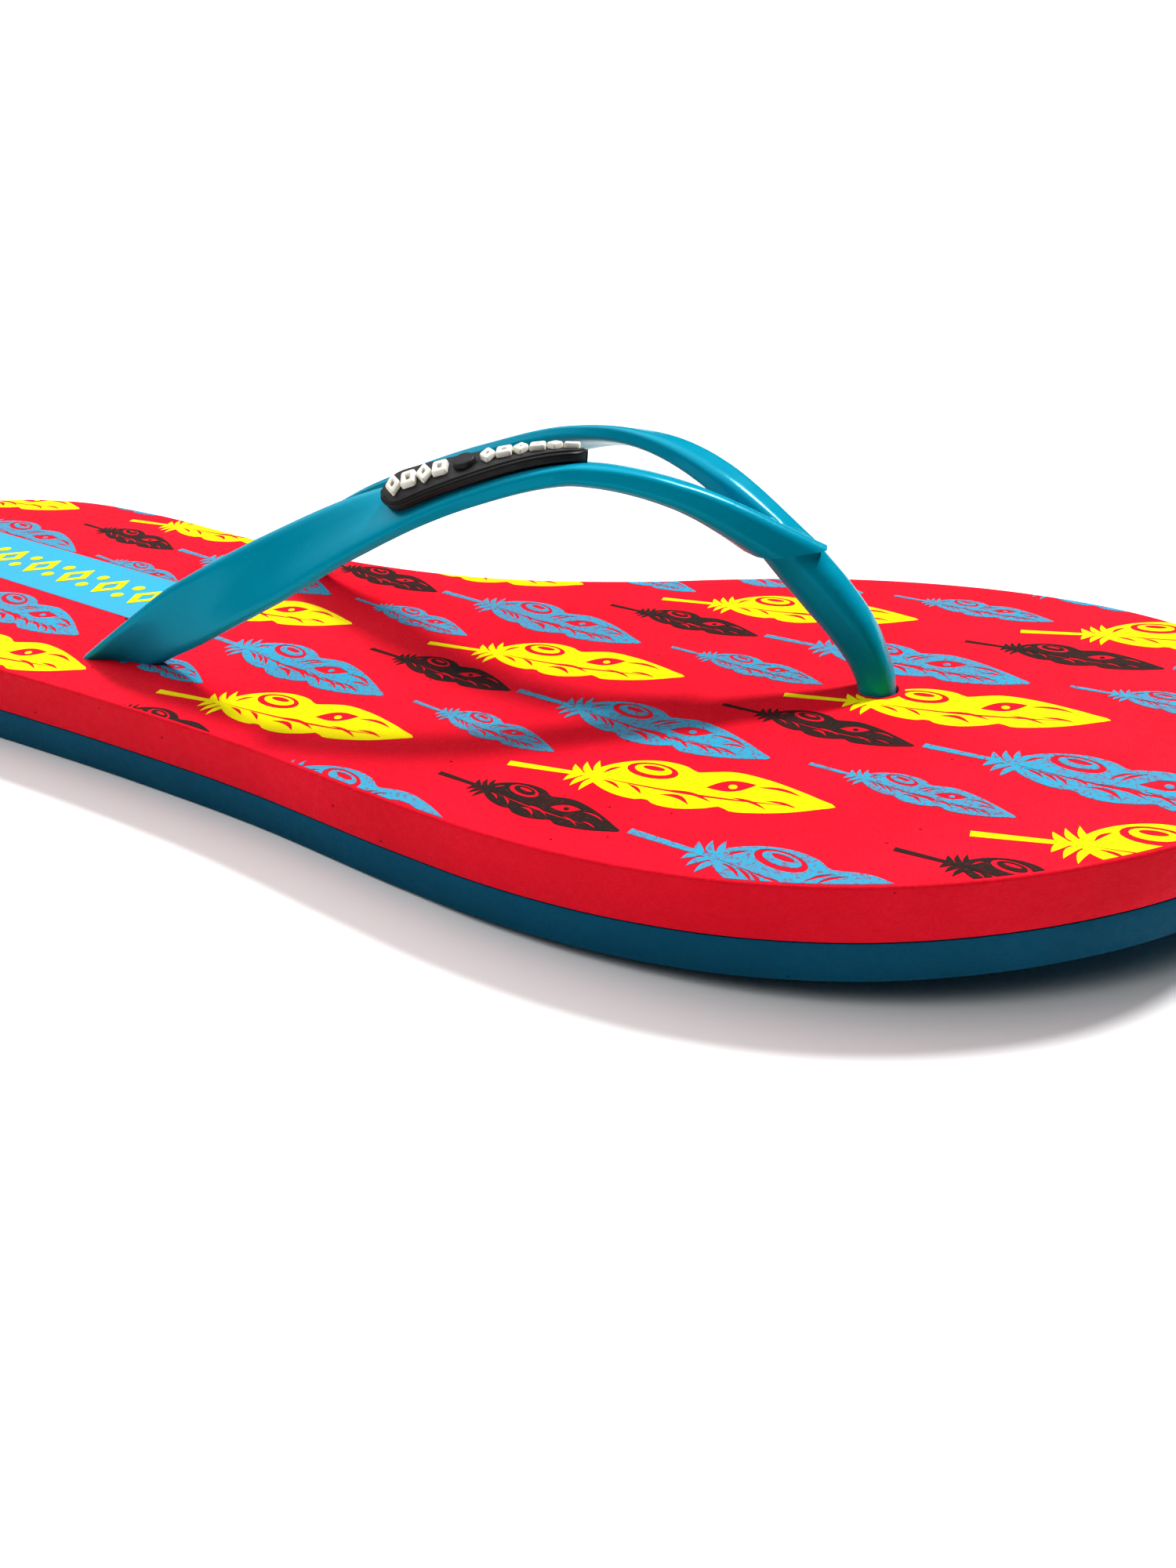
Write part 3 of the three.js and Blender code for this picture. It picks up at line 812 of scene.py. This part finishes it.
def band_marks():
    """Lozenges with a hole, and pairs of dots between them."""
    kinds = [
        [(True, lozenge(LOZENGE)), (False, lozenge(LOZENGE_HOLE))],
        [(True, oval((0, y), DOT_HALF, DOT_HALF)) for y in (DOT_OFFSET, -DOT_OFFSET)],
    ]
    groups = []
    for i in range(int(BAND_LENGTH / BAND_MARK_STEP)):
        centre = BAND_START + BAND_RUN * BAND_MARK_STEP * (i + BAND_FIRST_MARK)
        groups.append(placed(kinds[i % len(kinds)], centre, BAND_RUN, BAND_MARK_SLANT))
    return groups


class Ink:
    """A thin closed skin of ink on the footbed's top, made of separate shapes."""

    def __init__(self, part):
        self.vertices, self.faces = [], []
        chain, outward = CHAINS[part]
        self.limit = chain - outward * INK_EDGE
        self.holes = [circle(c, HOLE_RADIUS + HOLE_KEEP_OUT, 24) for c in hole_centres(part)]

    def print_shapes(self, shapes, avoid=(), rise=INK_RISE):
        corners = np.array([p for _, points in shapes for p in points])
        low, high = corners.min(axis=0) - SHAPE_MARGIN, corners.max(axis=0) + SHAPE_MARGIN
        points, edges = [], []

        def add(loop, closed=True):
            base = len(points)
            points.extend(map(Vector, loop))
            count = len(loop) if closed else len(loop) - 1
            edges.extend((base + i, base + (i + 1) % len(loop)) for i in range(count))

        def near(loop):
            loop = np.asarray(loop)
            return (loop.max(axis=0) > low).all() and (loop.min(axis=0) < high).all()

        for _, loop in shapes:
            add(loop)
        for x in X_LINES:
            if low[0] < x < high[0]:
                add([(x, low[1]), (x, high[1])], False)
        limit = self.limit
        for a, b in zip(limit, np.roll(limit, -1, axis=0)):
            if near([a, b]):
                add([a, b], False)
        stops = [loop for loop in (*self.holes, *avoid) if near(loop)]
        for loop in stops:
            add(loop)
        out, _, triangles, _, _, _ = delaunay_2d_cdt(points, edges, [], 0, 1e-4, True)
        flat = np.array([tuple(p) for p in out])
        tri = np.array(triangles)
        middles = flat[tri].mean(axis=1)
        inked = np.zeros(len(tri), bool)
        for adds, loop in shapes:
            inked[inside(loop, middles)] = adds
        inked &= inside(limit, middles)
        for loop in stops:
            inked &= ~inside(loop, middles)
        corners = flat[tri]
        first, second = corners[:, 1] - corners[:, 0], corners[:, 2] - corners[:, 0]
        inked &= np.abs(first[:, 0] * second[:, 1] - first[:, 1] * second[:, 0]) > SLIVER
        self.add_skin(flat, tri[inked], rise)

    def add_skin(self, flat, triangles, rise):
        if not len(triangles):
            return
        used = {i: k for k, i in enumerate(np.unique(triangles).tolist())}
        base, count = len(self.vertices), len(used)
        for level in (SOLE_TOP + rise, SOLE_TOP - INK_SUNK):
            for i in used:
                x, y = flat[i]
                self.vertices.append(row(x, y, spring(x) + level))
        sides = {}
        for t in triangles.tolist():
            a, b, c = (base + used[i] for i in t)
            self.faces += [(a, b, c), (c + count, b + count, a + count)]
            sides.update(dict.fromkeys(((a, b), (b, c), (c, a))))
        for a, b in sides:
            if (b, a) not in sides:
                self.faces.append((b, a, a + count, b + count))


def make_print():
    ahead, across = PRINT_STEPS
    for part in CHAINS:
        skins = {ink: Ink(part) for ink in INKS}
        band_here = [band_outline(BAND_KEEP_OUT)] if part == "rear" else []
        for i, j in REPEATS:
            for ink, start, end, width in FEATHERS:
                ends = [PRINT_ORIGIN + ahead * (i + p[0]) + across * (j + p[1]) for p in (start, end)]
                low, high = np.minimum(*ends) - FEATHER_ROOM, np.maximum(*ends) + FEATHER_ROOM
                limit = skins[ink].limit
                if (limit.max(axis=0) < low).any() or (limit.min(axis=0) > high).any():
                    continue
                feather = feather_shapes(width, ink == "blue")
                skins[ink].print_shapes(placed(feather, ends[0], ends[1] - ends[0]), band_here)
        if part == "rear":
            skins["sky"].print_shapes([(True, band_outline())])
            for shapes in band_marks():
                skins["yellow"].print_shapes(shapes, rise=MARK_INK_RISE)
        for ink, skin in skins.items():
            if skin.faces:
                name = f"print_{ink}_{part}"
                piece = new_object(name, skin.vertices, skin.faces, INKS[ink], INK_SHARP)
                bend_with_sole(piece)


# ---- Strap


def round_section(corner, side_steps=6, corner_steps=6, dish=0.0):
    """Points round a unit square with round corners; the +V side may be hollow."""
    inner = 0.5 - corner
    centres = [(inner, inner, 0), (-inner, inner, 90), (-inner, -inner, 180), (inner, -inner, 270)]
    points = []
    for k, (cx, cy, start) in enumerate(centres):
        for i in range(corner_steps + 1):
            turn = math.radians(start + 90 * i / corner_steps)
            points.append((cx + corner * math.cos(turn), cy + corner * math.sin(turn)))
        nx, ny, next_start = centres[(k + 1) % 4]
        turn = math.radians(next_start)
        target = (nx + corner * math.cos(turn), ny + corner * math.sin(turn))
        last = points[-1]
        for i in range(1, side_steps):
            share = i / side_steps
            points.append(tuple(last[n] + (target[n] - last[n]) * share for n in (0, 1)))

    def hollow(u):
        return dish * max(0.0, math.cos(math.pi * min(1.0, abs(u) / DISH_WIDTH) / 2)) ** DISH_POWER

    return [(u, v - hollow(u) if v > 0 else v) for u, v in points]


def sweep(rings, looped=False):
    """A closed tube through rings of points, or one whose last ring joins its first."""
    vertices = [row(*p) for ring in rings for p in ring]
    faces, count, total = [], len(rings[0]), len(vertices)
    for start in range(0, total if looped else total - count, count):
        ahead = (start + count) % total
        for i in range(count):
            j = (i + 1) % count
            faces.append((start + i, start + j, ahead + j, ahead + i))
    if not looped:
        faces += [tuple(range(count)), tuple(range(total - 1, total - 1 - count, -1))]
    return vertices, faces


def arm_frame(arm, t):
    """Centre, tangent, outward normal and cross direction of an arm's broad face at t."""
    centre, tangent = curve_point(arm["line"], t), curve_tangent(arm["line"], t)
    up = np.array([0.0, 0.0, 1.0])
    up = unit(up - tangent * (up @ tangent))
    outward = np.cross(tangent, up) * -arm["side"]
    lean = math.radians(along(arm["lean"], t))
    normal = up * math.cos(lean) + outward * math.sin(lean)
    return centre, tangent, normal, np.cross(normal, tangent)


def arm_rings(arm):
    rings = []
    for k in range(ARM_STEPS + 1):
        t = k / ARM_STEPS
        centre, _, normal, across = arm_frame(arm, t)
        width, thick = along(arm["width"], t), along(arm["thickness"], t)
        section = round_section(ARM_CORNER, dish=along(DISH, t) / thick)
        rings.append([centre + across * (u * width) + normal * (v * thick) for u, v in section])
    return rings


def bar_rings(line, widths, heights, steps, corner, creased=False):
    """Rings round a bar that keeps to one upright plane, with or without a crease down its front."""
    rings = []
    for k in range(steps + 1):
        t = k / steps
        centre, tangent = curve_point(line, t), curve_tangent(line, t)
        normal = unit(np.cross(tangent, (0.0, 1.0, 0.0)))
        across = np.cross(normal, tangent)
        points = []
        for u, v in round_section(corner, 4, 8):
            if creased and v < 0:
                cut = CREASE_DEPTH * math.exp(-((u - CREASE_PLACE) / CREASE_WIDTH) ** 2)
                v *= 1 - cut * smoothstep(CREASE_START, CREASE_FULL, t) * 2
            points.append(centre + across * (u * along(widths, t)) + normal * (v * along(heights, t)))
        rings.append(points)
    return rings


# The disc's underside and lower rim: radius and height above its lowest face.
DISC_UNDER = [
    (0.5, 0.35), (3.2, 0.35), (3.5, 0.1), (3.9, 0), (5.3, 0), (5.9, 0.12), (6.15, 0.5), (6.2, 0.9),
]
# Its upper rim and the stem's root: radius and height above its upper face.
DISC_OVER = [(6.2, -0.7), (6.0, -0.2), (5.5, 0), (3.4, 0), (2.8, 0.2), (STEM_RADIUS, 0.8)]


def plug(centre, top, necked):
    """A stem with a round disc at its foot, turned about an upright axis."""
    high = spring(centre[0]) + RECESS_DEPTH - DISC_GAP
    low = high - DISC_THICKNESS
    profile = [(r, low + z) for r, z in DISC_UNDER] + [(r, high + z) for r, z in DISC_OVER]
    if necked:
        profile += [(STEM_RADIUS, NECK_FOOT - NECK_TAPER), (NECK_RADIUS, NECK_FOOT), (NECK_RADIUS, top)]
    else:
        profile += [(STEM_RADIUS, top)]
    return sweep([[(x, y, z) for x, y in circle(centre, r, PLUG_SIDES)] for r, z in profile])


def cut_below(piece, level):
    """Cuts a piece off flat below a height, and closes it."""
    work = bmesh.new()
    work.from_mesh(piece.data)
    everything = work.verts[:] + work.edges[:] + work.faces[:]
    plane = {"plane_co": (0, 0, level * MM), "plane_no": (0, 0, 1)}
    cut = bmesh.ops.bisect_plane(work, geom=everything, clear_inner=True, dist=1e-7, **plane)
    rim = [e for e in cut["geom_cut"] if isinstance(e, bmesh.types.BMEdge)]
    bmesh.ops.holes_fill(work, edges=rim, sides=0)
    work.to_mesh(piece.data)
    work.free()


def combine(whole, other, operation):
    """Joins one solid to another, or cuts it away."""
    change = whole.modifiers.new("change", "BOOLEAN")
    change.operation, change.solver, change.object = operation, "EXACT", other
    graph = bpy.context.evaluated_depsgraph_get()
    mesh = bpy.data.meshes.new_from_object(whole.evaluated_get(graph))
    whole.modifiers.clear()
    whole.data = mesh
    bpy.data.objects.remove(other)


def collar_side(above, gap):
    """A block whose face is the collar's plane, above or below it."""
    tilt = math.radians(COLLAR_TILT)
    up = np.array([-math.sin(tilt), 0, math.cos(tilt)])
    ahead, side = np.array([math.cos(tilt), 0, math.sin(tilt)]), np.array([0, 1, 0])
    start = np.array(COLLAR_POINT) + up * gap
    corners = [(ahead * a + side * b) * COLLAR_BLOCK / 2 for a, b in ((-1, -1), (1, -1), (1, 1), (-1, 1))]
    ends = (0, COLLAR_BLOCK if above else -COLLAR_BLOCK)
    rings = [[start + up * reach + corner for corner in corners] for reach in ends]
    return scratch_object("collar", *sweep(rings))


def named(piece, name):
    piece.name = piece.data.name = name
    return piece


def make_strap():
    parts = []
    for name, arm in (("outer", OUTER_ARM), ("inner", INNER_ARM)):
        piece = scratch_object(name, *sweep(arm_rings(arm)))
        cut_below(piece, STRAP_FOOT)
        parts.append(piece)
    yoke = bar_rings(YOKE_LINE, YOKE_WIDTH, YOKE_HEIGHT, YOKE_STEPS, YOKE_CORNER)
    parts.append(scratch_object("yoke", *sweep(yoke)))
    strap, *others = parts
    for part in others:
        combine(strap, part, "UNION")
    combine(strap, collar_side(False, 0), "DIFFERENCE")
    for centre in (OUTER_ANCHOR, INNER_ANCHOR):
        combine(strap, scratch_object("plug", *plug(centre, NECK_TOP, True)), "UNION")
    finish_mesh(named(strap, "strap_moulding"), VINYL, STRAP_SHARP)
    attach(strap, "middle")
    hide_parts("strap")


def make_toe_post():
    rings = bar_rings(POST_LINE, POST_ACROSS, POST_ALONG, POST_STEPS, POST_CORNER, creased=True)
    post = scratch_object("post", *sweep(rings))
    combine(post, collar_side(True, -COLLAR_JOIN), "DIFFERENCE")
    combine(post, scratch_object("stem", *plug(POST_HOLE, POST_STEM_TOP, False)), "UNION")
    finish_mesh(named(post, "toe_post_moulding"), VINYL, POST_SHARP)
    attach(post, "middle")
    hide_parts("toe_post")


# ---- Badge


def badge_frame(s, u, v):
    """A place on the badge: s along it from 0 to 1, u across it and v out of the arm's face."""
    t = BADGE_START + (BADGE_END - BADGE_START) * s
    centre, tangent, normal, across = arm_frame(OUTER_ARM, t)
    face = along(OUTER_ARM["thickness"], t) / 2 + BADGE_SEAT
    return centre + across * (u + BADGE_INWARD) + normal * (face + v), tangent, normal, across


def badge_length():
    middles = np.array([badge_frame(i / 20, 0, 0)[0] for i in range(21)])
    return np.linalg.norm(np.diff(middles, axis=0), axis=1).sum()


def badge_slab(width, low, high, inset, corner, steps=48):
    """A bar with round ends that follows the arm's face between two heights above it."""
    end = width / 2 / badge_length()
    rings, section = [], round_section(corner, 5, 5)
    middle, depth = (low + high) / 2, high - low
    for k in range(steps + 1):
        share = (1 - math.cos(math.pi * k / steps)) / 2
        s = inset + (1 - 2 * inset) * share
        near_end = min(share, 1 - share, end) / end
        local = width * max(BADGE_BLUNT, math.sqrt(max(0.0, 1 - (1 - near_end) ** 2)))
        rings.append([badge_frame(s, u * local, middle + v * depth)[0] for u, v in section])
    return sweep(rings)


def rounded(corners, radius, steps=4):
    """A polygon with its corners rounded."""
    points = []
    corners = [np.array(c, float) for c in corners]
    for i, corner in enumerate(corners):
        before, after = corners[i - 1], corners[(i + 1) % len(corners)]
        a, b = corner + unit(before - corner) * radius, corner + unit(after - corner) * radius
        for k in range(steps + 1):
            s = k / steps
            points.append(a * (1 - s) ** 2 + corner * 2 * s * (1 - s) + b * s ** 2)
    return points


MARK_SHAPES = [[(0, -1), (1, 0), (0, 1), (-1, 0)], [(-0.9, -0.7), (0.9, -0.7), (0.9, 0.7), (-0.9, 0.7)]]
MARK_HOLE = 0.3  # a mark's hole, as a share of the mark
MARK_SIDE = [(1, 0), (1, 0.68), (0.96, 0.88), (0.88, 1)]  # shares of its outline and its height
MARK_CROWN = (0.6, 1.05)


def mark_solid(outline, s, hole):
    """A raised mark with soft edges, standing on the badge at s, with or without a hole."""
    inner = [(hole + 0.12, 1), (hole + 0.03, 0.88), (hole, 0.6), (hole, 0)] if hole else [MARK_CROWN]
    centre, tangent, normal, across = badge_frame(s, 0, BADGE_THICKNESS + BADGE_SEAT - MARK_SUNK)
    rings = []
    for share, height in MARK_SIDE + inner:
        lift = normal * (height * (MARK_HEIGHT + MARK_SUNK))
        rings.append([centre + (tangent * p[0] + across * p[1]) * share + lift for p in outline])
    return sweep(rings, bool(hole))


def badge_part(name, shape, material, node):
    piece = new_object(name, *shape, material, BADGE_SHARP)
    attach(piece, "middle")
    if node:
        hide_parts(node)


def make_badge():
    base = badge_slab(BADGE_WIDTH, -BADGE_SEAT - BADGE_SUNK, BADGE_THICKNESS, 0.0, BADGE_CORNER)
    badge_part("badge_base", base, BADGE_BLACK, "badge_plate")
    # A raised lip under the marks, in the lighter grey, which is a painted highlight along its rim.
    low, high = BADGE_THICKNESS - LIP_SUNK, BADGE_THICKNESS + LIP_RISE
    lip = badge_slab(BADGE_WIDTH - LIP_INSET, low, high, LIP_START, LIP_CORNER)
    badge_part("badge_lip", lip, BADGE_GREY, None)
    total = FIRST_MARKS + SECOND_MARKS
    for i in range(total):
        slot = i + 1 if i < FIRST_MARKS else i + 3
        corners = [(x * MARK_LENGTH / 2, y * MARK_WIDTH / 2) for x, y in MARK_SHAPES[i % 2]]
        shape = mark_solid(rounded(corners, MARK_ROUND), slot / (total + 3), MARK_HOLE)
        name = f"{i + 1:02d}"
        badge_part(f"mark_{name}", shape, BADGE_WHITE, f"badge_mark_{name}")
    dot = mark_solid(circle((0, 0), DOT_RADIUS, DOT_SIDES), (FIRST_MARKS + 1.5) / (total + 3), 0)
    badge_part("round_mark", dot, BADGE_GREY, "badge_dot")


# ---- Floor and light

KEY_FROM, KEY_SPREAD, KEY_STRENGTH = (0.4, 0.78, 1.1), 8, 3.1
FILL_FROM, FILL_LOW, FILL_HIGH = (-0.5, 0.05, 0.95), 0.02, 1.7
FILL_START, FILL_FULL = 0.5, 0.98  # how squarely a direction faces the fill's middle
BACKDROP_STRENGTH = 1.15
FLOOR_SIZE = 6


def make_floor():
    bpy.ops.mesh.primitive_plane_add(size=FLOOR_SIZE)
    floor = bpy.context.object
    floor.name = "floor"
    nodes = material_nodes("floor_paper")
    nodes.set(Roughness=0.9, Specular_IOR_Level=0.1)
    nodes.colour(nodes.ramp(nodes.noise(3, 2), [(0.3, (0.90,) * 3), (0.7, (0.93,) * 3)]))
    floor.data.materials.append(nodes.owner)


def make_light():
    """A broad soft fill from above the heel, a key light from behind the toe, and a white backdrop."""
    scene.world = bpy.data.worlds.new("studio")
    nodes = Nodes(scene.world, "Background", "Generated")
    nodes.set(Color=(1, 1, 1, 1))
    middle = Vector(FILL_FROM).normalized()
    facing = nodes.add("ShaderNodeVectorMath", {1: middle}, operation="DOT_PRODUCT")
    nodes.link(nodes.place, facing.inputs[0])
    reach = {"From Min": FILL_START, "From Max": FILL_FULL, "To Min": FILL_LOW, "To Max": FILL_HIGH}
    fill = nodes.add("ShaderNodeMapRange", reach, interpolation_type="SMOOTHSTEP")
    nodes.link(facing.outputs["Value"], fill.inputs["Value"])
    strength = nodes.add("ShaderNodeMapRange", {"To Max": BACKDROP_STRENGTH})
    nodes.link(nodes.add("ShaderNodeLightPath").outputs["Is Camera Ray"], strength.inputs["Value"])
    nodes.link(fill.outputs["Result"], strength.inputs["To Min"])
    nodes.link(strength.outputs["Result"], nodes.surface.inputs["Strength"])
    data = bpy.data.lights.new("key", "SUN")
    data.energy, data.angle = KEY_STRENGTH, math.radians(KEY_SPREAD)
    light = bpy.data.objects.new("key", data)
    light.location = KEY_FROM
    light.rotation_euler = (-Vector(KEY_FROM)).to_track_quat("-Z", "Y").to_euler()
    scene.collection.objects.link(light)
    scene.view_settings.view_transform = "Standard"
    scene.view_settings.look = "Medium High Contrast"


make_sole()
make_print()
make_strap()
make_toe_post()
make_badge()
make_floor()
make_light()
